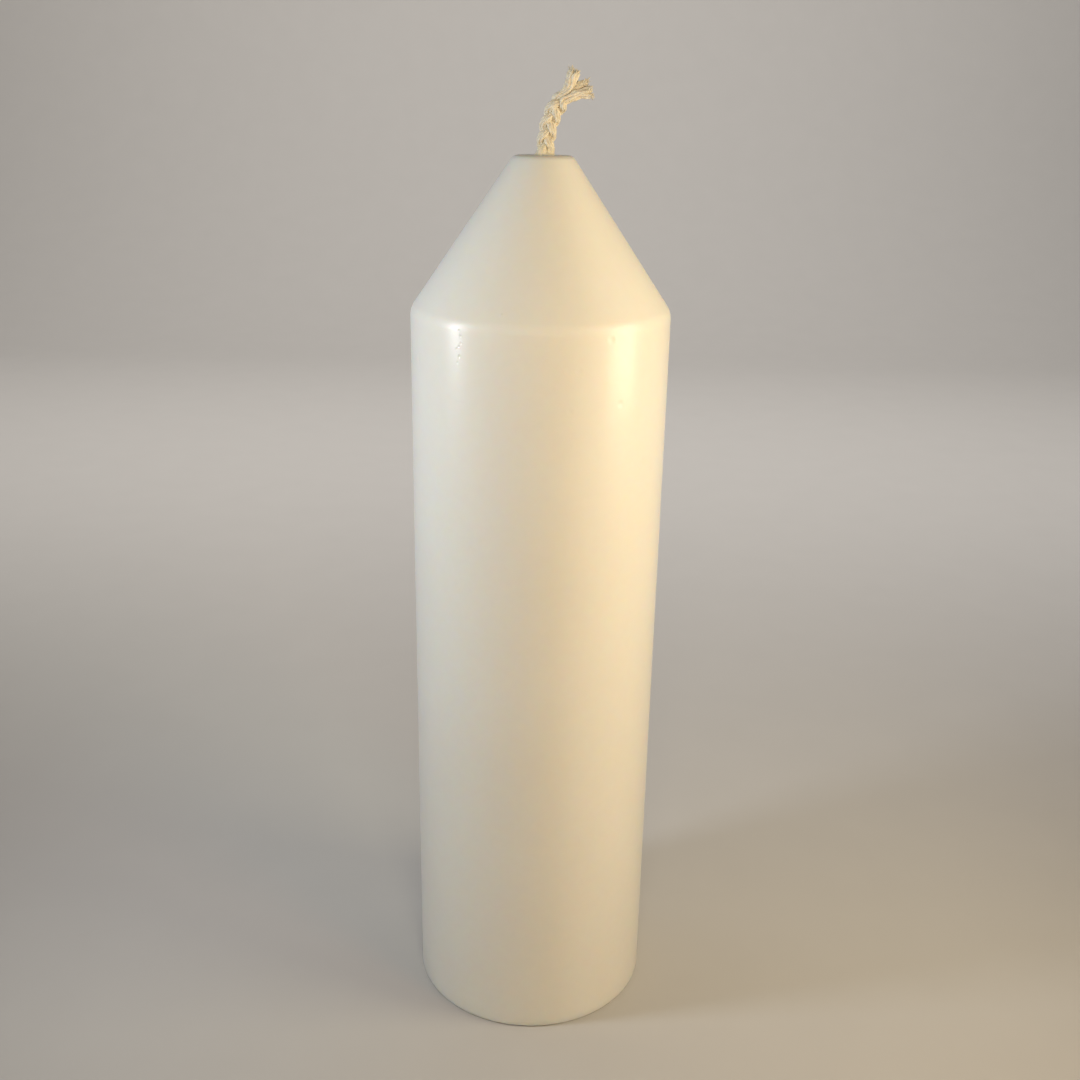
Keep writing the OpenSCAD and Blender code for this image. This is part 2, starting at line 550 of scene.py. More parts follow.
@dataclass(frozen=True)
class CottonFinish:
    """Waxed cotton yarn, darker and smoother where the wax has climbed it."""

    name: str
    light: Color
    shade: Color
    soaked: Color
    soak_from: float
    soak_to: float
    fibres: float = 14.0
    lean: float = 0.32
    fibre_length: float = 1.1
    fibre_tint: float = 0.65
    fibre_depth: float = 0.05 * MM
    fibre_strength: float = 0.8
    blotch_scale: float = 700.0
    blotch_tint: float = 0.35
    dry_roughness: float = 0.68
    soaked_roughness: float = 0.38
    sheen: float = 0.25
    sheen_roughness: float = 0.6
    scatter: Color = (1.0, 0.75, 0.5)
    scatter_depth: float = 0.6 * MM
    scatter_weight: float = 0.25

    def material(self, twist: FibreTwist) -> bpy.types.Material:
        """Makes the material.

        Args:
            twist: The shared fibre effect.

        Returns:
            The material.
        """
        material, bench, shader = new_material(self.name)
        effect = twist.place(
            bench, {"Fibres": self.fibres, "Lean": self.lean, "Length": self.fibre_length}
        )
        here = bench.add("ShaderNodeTexCoord").outputs["Object"]
        patches = bench.noise(here, self.blotch_scale, 2.0)
        blotch = bench.span(patches, 0.35, 0.65, 0.0, self.blotch_tint)
        mask = bench.math("ADD", bench.math("MULTIPLY", effect.outputs["Fibre"], self.fibre_tint), blotch)
        dry = bench.blend(mask, self.shade, self.light)
        height = bench.add("ShaderNodeSeparateXYZ")
        bench.join(here, height.inputs["Vector"])
        soak = bench.span(height.outputs["Z"], self.soak_from, self.soak_to, 1.0, 0.0)
        bench.join(bench.blend(soak, dry, self.soaked), shader.inputs["Base Color"])
        rough = bench.span(soak, 0.0, 1.0, self.dry_roughness, self.soaked_roughness)
        bench.join(rough, shader.inputs["Roughness"])
        shader.inputs["Sheen Weight"].default_value = self.sheen
        shader.inputs["Sheen Roughness"].default_value = self.sheen_roughness
        shader.inputs["Subsurface Weight"].default_value = self.scatter_weight
        shader.inputs["Subsurface Radius"].default_value = self.scatter
        shader.inputs["Subsurface Scale"].default_value = self.scatter_depth
        add_bump(bench, shader, effect.outputs["Height"], self.fibre_depth, self.fibre_strength)
        return material


@dataclass(frozen=True)
class TinFinish:
    """Tinned sheet: bright, with fine rolling lines and dull spots."""

    name: str
    bright: Color
    dull: Color
    rolling: Point3 = (120.0, 6000.0, 6000.0)
    rolled_roughness: Point2 = (0.22, 0.4)
    spot_scale: float = 600.0
    spot_roughness: float = 0.12
    line_depth: float = 0.01 * MM
    line_strength: float = 0.6

    def material(self) -> bpy.types.Material:
        """Makes the material."""
        material, bench, shader = new_material(self.name)
        here = bench.add("ShaderNodeTexCoord").outputs["Object"]
        stretch = bench.add("ShaderNodeMapping")
        stretch.inputs["Scale"].default_value = self.rolling
        bench.join(here, stretch.inputs["Vector"])
        lines = bench.noise(stretch.outputs["Vector"], 1.0, 3.0)
        spots = bench.span(bench.noise(here, self.spot_scale, 3.0), 0.4, 0.62, 0.0, 1.0)
        bench.join(bench.blend(spots, self.bright, self.dull), shader.inputs["Base Color"])
        rolled = bench.span(lines, 0.3, 0.7, *self.rolled_roughness)
        dulled = bench.math("MULTIPLY", spots, self.spot_roughness)
        bench.join(bench.math("ADD", rolled, dulled), shader.inputs["Roughness"])
        shader.inputs["Metallic"].default_value = 1.0
        add_bump(bench, shader, lines, self.line_depth, self.line_strength)
        return material


# ---------------------------------------------------------------- wick


@dataclass
class PlaitRoute:
    """Centre lines of the three strands, in millimetres, as the frame lays them."""

    axis_x: float = 0.4
    wax_top: float = 228.0
    step: float = 2.6
    pitch: float = 10.0
    loose_from: float = 12.0
    loose_to: float = 15.5
    crest_at: float = 13.2
    stub: list[Point3] = field(default_factory=lambda: [
        (0, 0, 0), (0.1, 0, 2.6), (0.5, 0, 5.2), (1.1, 0, 7.8), (2.1, 0, 10.2), (3.6, 0, 12.2),
    ])
    tails: list[list[Point3]] = field(default_factory=lambda: [
        [(5, 0, 14.4), (5.8, 0, 16.6), (6.4, 0, 18.6)],
        [(5, 0.5, 14), (7, 0.6, 15.3), (9.5, 0.5, 15.8)],
        [(5.7, -0.6, 13), (8, -0.6, 13.8), (10.3, -0.5, 13.9)],
    ])

    @property
    def length(self) -> float:
        """Length of the stub from the flat to the strands' tips."""
        return self.step * (len(self.stub) + len(self.tails[0]) - 1)

    def point(self, strand: int, s: float) -> np.ndarray:
        """Finds a point of a strand's route.

        Args:
            strand: Which strand.
            s: Distance along the wick from the flat, negative inside the wax.

        Returns:
            The point.
        """
        base = np.array([self.axis_x, 0.0, self.wax_top])
        if s < 0:
            return base + np.array([0.0, 0.0, s])
        p = np.array(self.stub + self.tails[strand], float)
        last = len(p) - 1
        k = max(0, min(last - 1, int(s / self.step)))
        t = s / self.step - k
        b, c = p[k], p[k + 1]
        a = p[k - 1] if k > 0 else b - np.array([0.0, 0.0, self.step])
        d = p[k + 2] if k < last - 1 else 2 * c - b
        bend = (2 * a - 5 * b + 4 * c - d) * t**2
        sway = (3 * b - a - 3 * c + d) * t**3
        return base + b + ((c - a) * t + bend + sway) / 2

    def axes(self, strand: int, s: float) -> tuple[np.ndarray, np.ndarray]:
        """Finds the two directions across a strand's route.

        Args:
            strand: Which strand.
            s: Distance along the wick.

        Returns:
            The sideways direction and the direction away from the front.
        """
        ahead = self.point(strand, s + self.step / 2) - self.point(strand, s - self.step / 2)
        side = np.cross([0.0, 1.0, 0.0], ahead)
        side /= np.linalg.norm(side)
        back = np.cross(ahead, side)
        return side, back / np.linalg.norm(back)

    def weave(self, strand: int, s: float) -> np.ndarray:
        """Finds where a strand lies in the plait's figure of eight.

        Args:
            strand: Which strand.
            s: Distance along the wick.

        Returns:
            Its place across and through the plait, each from -1 to 1.
        """
        phase = math.radians(360 * min(0.0, s - self.crest_at) / self.pitch + 120 * strand - 90)
        hold = 1 - float(ease(self.loose_from, self.loose_to, s))
        return np.array([math.sin(phase), math.sin(2 * phase)]) * hold


@dataclass(frozen=True)
class LooseEnds:
    """Fibres that have come apart at the end of a yarn, in millimetres."""

    count: int
    sides: int
    thick: float
    thin: float
    length: float
    spread: float
    lean: float
    curl: float
    shortest: float = 0.45
    sunk: float = 0.4
    points: int = 6


@dataclass(frozen=True)
class Strays:
    """Fine fibres that stand off the stub, in millimetres."""

    count: int = 26
    lowest: float = 2.6
    below_tip: float = 1.5
    run: Point2 = (0.8, 1.8)
    rooted: float = 0.9
    lift: Point2 = (0.15, 0.7)
    thick: float = 0.035
    thin: float = 0.018
    sides: int = 4
    points: int = 6


TUFT = LooseEnds(count=10, sides=6, thick=0.18, thin=0.08, length=0.50, spread=0.20, lean=0.45, curl=0.5)
WISPS = LooseEnds(count=8, sides=4, thick=0.035, thin=0.015, length=0.45, spread=0.24, lean=0.6, curl=0.9)


@dataclass
class Wick:
    """Three strands of nine yarns, packed against each other at every step along the plait.

    Its sizes are in millimetres. Each strand has its own gap between yarns at its tip.
    """

    route: PlaitRoute
    foot_z: float
    width: float = 4.2
    thick: float = 3.4
    yarns: int = 9
    yarn_gap: float = 0.63
    yarn_r: float = 0.345
    tip_gap: Point3 = (1.12, 0.78, 0.78)
    swing: Point2 = (1.12, 0.78)
    buried_step: float = 0.9
    stub_step: float = 0.2
    buried_sides: int = 6
    stub_sides: int = 12
    overlap: float = 2.0
    bundle: float = 0.33
    first_rounds: int = 200
    rounds: int = 14
    free_reach: float = 4.0
    wander: float = 0.035
    wander_gain: float = 2.2
    tip_wander: float = 2.5
    swell: float = 0.10
    tip_swell: float = 0.6
    lobes: int = 3
    lobe_depth: float = 0.085
    twist: float = 4.5
    tip_round: float = 0.5
    uneven_ends: Point2 = (-0.9, 0.25)
    sharp_angle: float = math.radians(70)
    strays: Strays = Strays()
    seed: int = 11

    def __post_init__(self) -> None:
        """Packs the yarns once, since the wax collar fits round them."""
        buried = self.route.wax_top - self.foot_z
        tip = self.route.length
        below = -np.linspace(buried, self.overlap, round((buried - self.overlap) / self.buried_step) + 1)
        above = np.linspace(-self.overlap, tip, round((tip + self.overlap) / self.stub_step) + 1)
        self.stations = np.concatenate([below[:-1], above])
        self.places = self.pack()

    def spread(self, s: float) -> float:
        """Growth of the gap between a strand's yarns towards its tip, from 0 to 1."""
        start = self.route.loose_from
        return float(np.clip((s - start) / (self.route.length - start), 0.0, 1.0)) ** 1.5

    def slack(self, s: float) -> float:
        """How loosely the plait is held: tight in the wax, looser above it and most at its end."""
        return 0.4 * float(ease(-0.5, 1.5, s)) + 0.45 * float(ease(10.0, 14.0, s))

    def pack(self) -> np.ndarray:
        """Lays every yarn at every station.

        Returns:
            Places across and through each strand's own route, by station and yarn.
        """
        rng = np.random.default_rng(self.seed)
        owner = np.repeat(np.arange(3), self.yarns)
        number = np.tile(np.arange(self.yarns), 3)
        turn = number * GOLDEN_TURN + owner
        reach = self.bundle * np.sqrt(number + 0.5)
        offset = np.stack([np.cos(turn), np.sin(turn)], 1) * reach[:, None]
        result = np.empty((len(self.stations), len(owner), 2))
        place = None
        for n, s in enumerate(self.stations):
            away = self.parting(s)
            slack = self.slack(s)
            swing = np.array(self.swing) * (1 + np.array([0.3, 0.1]) * slack)
            goal = np.array([self.route.weave(i, s) * swing for i in range(3)]) + away
            if place is None:
                place = goal[owner] + offset
                rounds = self.first_rounds
            else:
                place = place + (goal - before)[owner]
                rounds = self.rounds
            before = goal
            growth = (np.array(self.tip_gap)[owner] - self.yarn_gap) * self.spread(s)
            gap = self.yarn_gap + np.maximum(0.12 * slack, growth)
            pair_gap = (gap[:, None] + gap[None]) / 2
            free = float(ease(self.route.loose_from, self.route.loose_to - 1, s)) * self.free_reach
            half = np.array([self.width, self.thick]) / 2 - self.yarn_r
            half = half + np.array([0.5, 0.25]) * slack + free
            for _ in range(rounds):
                place = self.relax(place, goal[owner], pair_gap, half)
            result[n] = place - away[owner]
        wander = self.smooth(rng.normal(0.0, self.wander, result.shape), 6)
        result += wander * self.wander_gain * (1 + self.tip_wander * self.tip_mask()[:, None, None])
        return self.smooth(result, 3)

    def parting(self, s: float) -> np.ndarray:
        """Measures how far the strands' routes lie from their middle.

        Args:
            s: Distance along the wick.

        Returns:
            Distances across and through the wick, by strand.
        """
        points = [self.route.point(i, s) for i in range(3)]
        middle = sum(points) / 3
        side, back = self.route.axes(0, s)
        away = np.array([[(p - middle) @ side, (p - middle) @ back] for p in points])
        return away * 0 if s < self.route.stub[-1][2] - 1 else away

    def tip_mask(self) -> np.ndarray:
        """Rises from 0 in the plait to 1 at the loose tips, by station."""
        return ease(self.route.loose_from, self.route.length, self.stations)

    @staticmethod
    def relax(place: np.ndarray, goal: np.ndarray, gap: np.ndarray, half: np.ndarray) -> np.ndarray:
        """Draws yarns to their strand, pushes touching ones apart and keeps them inside the plait.

        Args:
            place: Where the yarns are.
            goal: Centre of each yarn's strand.
            gap: Least distance for each pair.
            half: Half width and half thickness that hold the yarns.

        Returns:
            Where the yarns move to.
        """
        place = place + 0.10 * (goal - place)
        apart = place[:, None] - place[None]
        distance = np.linalg.norm(apart, axis=2) + np.eye(len(place)) * 9 + 1e-9
        push = np.clip(gap - distance, 0.0, None) / distance * 0.42
        place = place + (apart * push[:, :, None]).sum(1) * 0.6
        over = np.sqrt(((place / half) ** 2).sum(1))
        return place / np.maximum(1.0, over)[:, None]

    @staticmethod
    def smooth(rows: np.ndarray, passes: int) -> np.ndarray:
        """Averages each station with its neighbours.

        Args:
            rows: Values by station.
            passes: How many times.

        Returns:
            The smoothed values.
        """
        for _ in range(passes):
            padded = np.concatenate([rows[:1], rows, rows[-1:]])
            rows = (padded[:-2] + 2 * padded[1:-1] + padded[2:]) / 4
        return rows

    def girth(self, s: float, angles: np.ndarray) -> np.ndarray:
        """Measures how far the plait reaches in each direction.

        Args:
            s: Distance along the wick.
            angles: Directions round the wick from its side, in radians.

        Returns:
            Distance from the middle of the wick to the outside of the yarns.
        """
        place = self.places[int(np.argmin(abs(self.stations - s)))]
        way = np.stack([np.cos(angles), np.sin(angles)], 1)
        forward = way @ place.T
        aside = np.abs(way[:, :1] * place[:, 1] - way[:, 1:] * place[:, 0])
        inside = np.clip(self.yarn_r**2 - aside**2, 0.0, None)
        reach = np.where(aside < self.yarn_r, forward + np.sqrt(inside), 0.0)
        return reach.max(1)

    def centre_line(self, yarn: int, stations: np.ndarray) -> np.ndarray:
        """Lays a yarn's centre line in space.

        Args:
            yarn: Which of all the yarns.
            stations: Distances along the wick.

        Returns:
            Points in millimetres.
        """
        strand = yarn // self.yarns
        rows = []
        for s in stations:
            side, back = self.route.axes(strand, s)
            across = np.interp(s, self.stations, self.places[:, yarn, 0])
            through = np.interp(s, self.stations, self.places[:, yarn, 1])
            rows.append(self.route.point(strand, s) + side * across + back * through)
        return np.array(rows)

    def build(self, material: bpy.types.Material) -> None:
        """Makes the three strands.

        Args:
            material: The cotton.
        """
        rng = random.Random(self.seed)
        for strand, letter in enumerate("abc"):
            whole = bmesh.new()
            for k in range(self.yarns):
                self.lay_yarn(whole, strand, strand * self.yarns + k, rng)
            self.lay_strays(whole, strand, rng)
            bmesh.ops.recalc_face_normals(whole, faces=whole.faces[:])
            piece = finished_object(whole, f"wick_yarns_{letter}", self.sharp_angle)
            piece.data.materials.append(material)
            settle(piece, f"wick_strand_{letter}")

    def lay_yarn(self, whole: bmesh.types.BMesh, strand: int, yarn: int, rng: random.Random) -> None:
        """Makes one yarn, coarse inside the wax and fine outside, with a frayed tip.

        Args:
            whole: Mesh of the strand.
            strand: Which strand.
            yarn: Which of all the yarns.
            rng: Source of the uneven ends.
        """
        end = self.route.length + rng.uniform(*self.uneven_ends)
        below = self.stations[self.stations < -1.0]
        above = np.append(np.arange(-1.0, end, self.stub_step), end)
        turn = rng.uniform(0, TURN)
        bm = bmesh.new()
        uv = bm.loops.layers.uv.new("yarn")
        for stations, sides in ((below, self.buried_sides), (above, self.stub_sides)):
            path = self.centre_line(yarn, stations)
            growth = self.tip_swell * (self.tip_gap[strand] / self.yarn_gap - 1) * ease(12.0, 20.0, stations)
            fat = self.yarn_r * (1 + np.maximum(self.swell * ease(-0.5, 1.5, stations), growth))
            slub = 1 + 0.05 * np.sin(stations * 1.7 + turn) + 0.04 * np.sin(stations * 4.1 + 2 * turn)
            angle = np.arange(sides) / sides * TURN
            wound = angle[None] - stations[:, None] * TURN / self.twist + turn
            radii = (fat * slub)[:, None] * (1 + self.lobe_depth * np.cos(self.lobes * wound))
            if stations is above:
                last = np.clip((end - stations) / self.tip_round, 0.0, 1.0)
                radii *= (0.45 + 0.55 * np.sqrt(last))[:, None]
            sweep_tube(bm, uv, path, radii, stations)
        ahead = path[-1] - path[-4]
        for ends in (TUFT, WISPS):
            self.fray(bm, uv, path[-1], ahead, rng, ends)
        pour_into(whole, bm)

    def fray(self, bm: bmesh.types.BMesh, uv: object, tip: np.ndarray, ahead: np.ndarray,
             rng: random.Random, ends: LooseEnds) -> None:
        """Makes the loose fibres at the end of a yarn.

        Args:
            bm: Mesh that gets the fibres.
            uv: UV layer.
            tip: End of the yarn.
            ahead: Its direction.
            rng: Source of their shapes.
            ends: What the fibres are like.
        """
        ahead = ahead / np.linalg.norm(ahead)
        t = np.linspace(0, 1, ends.points)[:, None]
        for _ in range(ends.count):
            start = np.array([rng.uniform(-1, 1) for _ in range(3)]) * ends.spread
            lean = np.array([rng.gauss(0, ends.lean) for _ in range(3)])
            curl = np.array([rng.gauss(0, ends.curl) for _ in range(3)])
            length = rng.uniform(ends.shortest, 1.0) * ends.length
            path = tip + start + ahead * ((length + ends.sunk) * t - ends.sunk)
            path = path + lean * length * t + curl * t**2 * length
            radii = np.repeat(ends.thick + (ends.thin - ends.thick) * t**1.5, ends.sides, axis=1)
            sweep_tube(bm, uv, path, radii, t[:, 0] * length)

    def lay_strays(self, whole: bmesh.types.BMesh, strand: int, rng: random.Random) -> None:
        """Makes the fine fibres that stand off the stub.

        Args:
            whole: Mesh of the strand.
            strand: Which strand they leave.
            rng: Source of their shapes.
        """
        bm = bmesh.new()
        uv = bm.loops.layers.uv.new("yarn")
        kind = self.strays
        for _ in range(kind.count):
            yarn = strand * self.yarns + rng.randrange(self.yarns)
            s = rng.uniform(kind.lowest, self.route.length - kind.below_tip)
            around = rng.uniform(0, TURN)
            run = rng.uniform(*kind.run)
            stations = np.linspace(s, s + run, kind.points)
            path = self.centre_line(yarn, stations)
            side, back = self.route.axes(strand, s)
            out = side * math.cos(around) + back * math.sin(around)
            rise = np.linspace(0, 1, kind.points) ** 2 * rng.uniform(*kind.lift)
            lift = self.yarn_r * kind.rooted + rise
            taper = np.linspace(kind.thick, kind.thin, kind.points)
            radii = np.repeat(taper[:, None], kind.sides, axis=1)
            sweep_tube(bm, uv, path + out * lift[:, None], radii, stations)
        pour_into(whole, bm)


def pour_into(whole: bmesh.types.BMesh, part: bmesh.types.BMesh) -> None:
    """Adds a part to a larger mesh and frees it.

    Args:
        whole: The larger mesh.
        part: The part.
    """
    mesh = bpy.data.meshes.new("part")
    part.to_mesh(mesh)
    part.free()
    whole.from_mesh(mesh)
    bpy.data.meshes.remove(mesh)


def sweep_tube(
    bm: bmesh.types.BMesh, uv: object, path: np.ndarray, radii: np.ndarray, along: np.ndarray
) -> None:
    """Wraps a grid round a path and closes its ends.

    Args:
        bm: Mesh that gets the tube.
        uv: UV layer, which gets turns round the tube and millimetres along it.
        path: Centre line in millimetres.
        radii: Radius by station and side, in millimetres.
        along: Distance of each station.
    """
    count, sides = radii.shape
    grid = bmesh.ops.create_grid(bm, x_segments=sides, y_segments=count - 1, size=1.0)["verts"]
    ahead = np.gradient(path, axis=0)
    side = np.cross([0.0, 1.0, 0.0], ahead)
    side /= np.linalg.norm(side, axis=1)[:, None]
    back = np.cross(ahead, side)
    back /= np.linalg.norm(back, axis=1)[:, None]
    turns = {}
    for vert in grid:
        column = round((vert.co.x + 1) / 2 * sides)
        row = round((vert.co.y + 1) / 2 * (count - 1))
        angle = TURN * column / sides
        radius = radii[row, column % sides]
        spot = path[row] + (side[row] * math.cos(angle) + back[row] * math.sin(angle)) * radius
        vert.co = spot * MM
        turns[vert] = (column / sides, float(along[row]))
    for face in {face for vert in grid for face in vert.link_faces}:
        for loop in face.loops:
            loop[uv].uv = turns[loop.vert]
    bmesh.ops.remove_doubles(bm, verts=grid, dist=TUBE_WELD)
    rim = [e for vert in grid if vert.is_valid for e in vert.link_edges if e.is_boundary]
    bmesh.ops.holes_fill(bm, edges=list(set(rim)), sides=sides)


# ---------------------------------------------------------------- wax pillar


@dataclass(frozen=True)
class Mark:
    """One blemish of the wax, at an angle from the front and a height, in degrees and millimetres."""

    kind: MarkKind
    angle: float
    height: float
    wide: float
    tall: float
    depth: float


FRONT_MARKS = [
    Mark(MarkKind.PIT, -35.2, 190.8, 0.50, 0.45, 0.08),
    Mark(MarkKind.PIT, -34.4, 189.6, 0.60, 0.50, 0.09),
    Mark(MarkKind.PIT, -34.2, 187.9, 0.50, 0.45, 0.07),
    Mark(MarkKind.PIT, -36.6, 186.5, 0.45, 0.40, 0.06),
    Mark(MarkKind.PIT, -35.3, 187.1, 0.60, 0.45, 0.08),
    Mark(MarkKind.PIT, -35.0, 184.9, 0.55, 0.60, 0.08),
    Mark(MarkKind.PIT, -36.0, 183.4, 0.50, 0.50, 0.06),
    Mark(MarkKind.DENT, -64.5, 181.5, 1.2, 2.0, 0.14),
    Mark(MarkKind.SCUFF, -34.6, 174.5, 3.4, 1.8, 0.015),
    Mark(MarkKind.DENT, 7.6, 189.5, 2.0, 1.6, 0.07),
    Mark(MarkKind.BUMP, 10.1, 182.8, 1.3, 1.1, 0.05),
    Mark(MarkKind.DENT, 16.1, 182.8, 1.4, 1.2, 0.07),
    Mark(MarkKind.BUMP, 6.4, 179.3, 1.2, 1.2, 0.05),
    Mark(MarkKind.DENT, 12.7, 173.6, 1.3, 1.1, 0.06),
    Mark(MarkKind.BUMP, 14.3, 165.9, 1.1, 1.2, 0.05),
    Mark(MarkKind.DENT, 30.3, 189.5, 1.5, 1.2, 0.09),
    Mark(MarkKind.DENT, 36.0, 174.4, 1.4, 1.3, 0.08),
    Mark(MarkKind.BUMP, 45.5, 173.8, 1.1, 1.3, 0.06),
    Mark(MarkKind.BUMP, -17.1, 194.8, 0.55, 0.50, 0.14),
]


@dataclass
class WaxPillar:
    """The cast body: straight wall, rounded shoulder, cone, small flat and the wax up the wick.

    Each slow wave of the wall is (height, length, seed), in millimetres. The collar levels are
    heights over the flat at which the plait is measured, in millimetres.
    """

    wall_h: float = 192 * MM
    flat_r: float = 7 * MM
    collar_h: float = 2.2 * MM
    shoulder_r: float = 5 * MM
    rim_r: float = 2 * MM
    foot_r: float = 1 * MM
    channel_r: float = 2.22 * MM
    collar_t: float = 0.14 * MM
    collar_spread: float = 0.7 * MM
    neck_r: float = 2.57 * MM
    neck_top: float = 10.3 * MM
    flare_r: float = 3.4 * MM
    flare_top: float = 3.5 * MM
    recess_r: float = 10.5 * MM
    recess_h: float = 3 * MM
    steps: int = 256
    row_gap: float = 1.5 * MM
    collar_foot_r: float = 3.9 * MM
    recess_foot_r: float = 11.6 * MM
    collar_levels: tuple[float, ...] = (0.3, 0.9, 1.5, 2.1)
    collar_snug: float = 0.6
    collar_draw: float = 0.65
    film_r: float = 3.2 * MM
    film_above: float = 0.12 * MM
    waves: tuple[Point3, ...] = ((0.045, 38.0, 3.1), (0.018, 11.0, 7.7), (0.005, 3.2, 1.3))
    sharp_angle: float = math.radians(40)
    other_count: int = 26
    seed: int = 5

    def __post_init__(self) -> None:
        """Reads the place of the pillar and the wick from the frame."""
        low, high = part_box("wax_pillar")
        tab_low, tab_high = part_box("wick_tab")
        self.radius = (high.x - low.x) / 2
        self.top = high.z - self.collar_h
        self.wick_x = (tab_low.x + tab_high.x) / 2
        self.marks = FRONT_MARKS + self.other_marks()

    def other_marks(self) -> list[Mark]:
        """Scatters blemishes over the sides and back.

        Returns:
            The marks.
        """
        rng = random.Random(self.seed)
        marks = []
        for _ in range(self.other_count):
            kind = rng.choice([MarkKind.DENT, MarkKind.DENT, MarkKind.BUMP, MarkKind.PIT])
            size = rng.uniform(0.4, 0.6) if kind is MarkKind.PIT else rng.uniform(1.0, 2.2)
            depth = 0.14 if kind is MarkKind.PIT else rng.uniform(0.04, 0.08)
            angle = rng.uniform(60, 300)
            height = rng.uniform(12, 188)
            marks.append(Mark(kind, angle, height, size, size * rng.uniform(0.7, 1.3), depth))
        marks.append(Mark(MarkKind.SCUFF, 152.0, 121.0, 4.4, 1.3, 0.10))
        marks.append(Mark(MarkKind.SCUFF, 231.0, 58.0, 3.2, 1.1, 0.09))
        return marks

    def outer_outline(self) -> list[Point2]:
        """Lays the outside, from beside the collar to beside the base recess."""
        foot, shoulder, rim = (self.radius, 0.0), (self.radius, self.wall_h), (self.flat_r, self.top)
        rim_arc = fillet((0.0, self.top), rim, shoulder, self.rim_r, 8)
        shoulder_arc = fillet(rim, shoulder, foot, self.shoulder_r, 12)
        foot_arc = fillet(shoulder, foot, (0.0, 0.0), self.foot_r, 6)
        start, end = (self.collar_foot_r, self.top), (self.recess_foot_r, 0.0)
        return [
            start, *spaced(start, rim_arc[0], 0.6 * MM),
            *rim_arc, *spaced(rim_arc[-1], shoulder_arc[0], self.row_gap),
            *shoulder_arc, *spaced(shoulder_arc[-1], foot_arc[0], self.row_gap),
            *foot_arc, *spaced(foot_arc[-1], end, 3 * MM), end,
        ]

    def inner_outline(self) -> list[Point2]:
        """Lays the inside, from the foot of the collar over its lip and down the channel to the recess."""
        lip_r = self.channel_r + self.collar_t
        hollow = []
        for i in range(9):
            a = math.pi / 2 * i / 8
            out = lip_r + self.collar_spread * (1 - math.sin(a)) ** 1.4
            hollow.append((out, self.top + self.collar_h * (1 - math.cos(a)) ** 1.3))
        lip = [
            (lip_r - 0.07 * MM, self.top + self.collar_h + 0.03 * MM),
            (self.channel_r, self.top + self.collar_h - 0.05 * MM),
            (self.channel_r - 0.1 * MM, self.top + self.collar_h - 0.35 * MM),
            (self.channel_r - 0.1 * MM, self.top + 0.6 * MM),
            (self.channel_r, self.top - 1 * MM),
        ]
        channel = spaced(lip[-1], (self.channel_r, self.neck_top), 60 * MM)
        socket = [
            (self.channel_r, self.neck_top), (self.neck_r, self.neck_top), (self.neck_r, self.flare_top),
            (self.flare_r, self.recess_h), (self.recess_r, self.recess_h), (self.recess_r, 0.4 * MM),
            (self.recess_r + 0.1 * MM, 0.1 * MM), (self.recess_r + 0.4 * MM, 0.0),
        ]
        return hollow + lip + channel + socket

    def build(self, wick: Wick, material: bpy.types.Material, film: bpy.types.Material) -> None:
        """Makes the pillar.

        Args:
            wick: The plait that the collar fits round.
            material: The ivory wax.
            film: The thin wax on the wick.
        """
        bm = bmesh.new()
        inner = self.inner_outline()
        spin_outline(bm, self.outer_outline(), 0.0, self.steps, False)
        spin_outline(bm, inner, self.wick_x, self.steps, False)
        for reach, level in (inner[0], inner[-1]):
            self.join_rings(bm, reach, level)
        self.refine(bm)
        bmesh.ops.recalc_face_normals(bm, faces=bm.faces[:])
        piece = finished_object(bm, "wax_body", self.sharp_angle)
        self.shape_collar(piece.data, wick)
        self.weather(piece.data)
        piece.data.materials.append(material)
        piece.data.materials.append(film)
        for face in piece.data.polygons:
            out = math.hypot(face.center.x - self.wick_x, face.center.y)
            face.material_index = int(face.center.z > self.top + self.film_above and out < self.film_r)
        settle(piece, "wax_pillar")

    def join_rings(self, bm: bmesh.types.BMesh, reach: float, level: float) -> None:
        """Closes the flat gap between the outer shell and the inner one.

        Args:
            bm: The pillar.
            reach: Radius of the inner ring, round the wick.
            level: Height of both rings.
        """
        open_edges = [e for e in bm.edges if e.is_boundary and abs(e.verts[0].co.z - level) < 0.01 * MM]
        rings = ([], [])
        for vert in {v for e in open_edges for v in e.verts}:
            inside = math.hypot(vert.co.x - self.wick_x, vert.co.y) < reach + 0.1 * MM
            centre = self.wick_x if inside else 0.0
            turn = (math.atan2(vert.co.y, vert.co.x - centre) + math.pi / self.steps) % TURN
            rings[inside].append((turn, vert))
        outer, inner = ([vert for _, vert in sorted(ring, key=lambda row: row[0])] for ring in rings)
        for k in range(self.steps):
            bm.faces.new((outer[k - 1], outer[k], inner[k], inner[k - 1]))

    def beside(self, points: np.ndarray, mark: Mark) -> tuple[np.ndarray, np.ndarray]:
        """Measures where points lie from a mark.

        Args:
            points: Positions on the wax, one row each.
            mark: The mark.

        Returns:
            Distances round the pillar and up it, in metres.
        """
        angle = np.arctan2(points[:, 0], -points[:, 1])
        turn = (angle - math.radians(mark.angle) + math.pi) % TURN - math.pi
        return self.radius * turn, points[:, 2] - mark.height * MM

    def away(self, points: np.ndarray, mark: Mark) -> np.ndarray:
        """Measures how far points are beyond half of a mark's size, negative inside it."""
        return np.hypot(*self.beside(points, mark)) - max(mark.wide, mark.tall) / 2 * MM

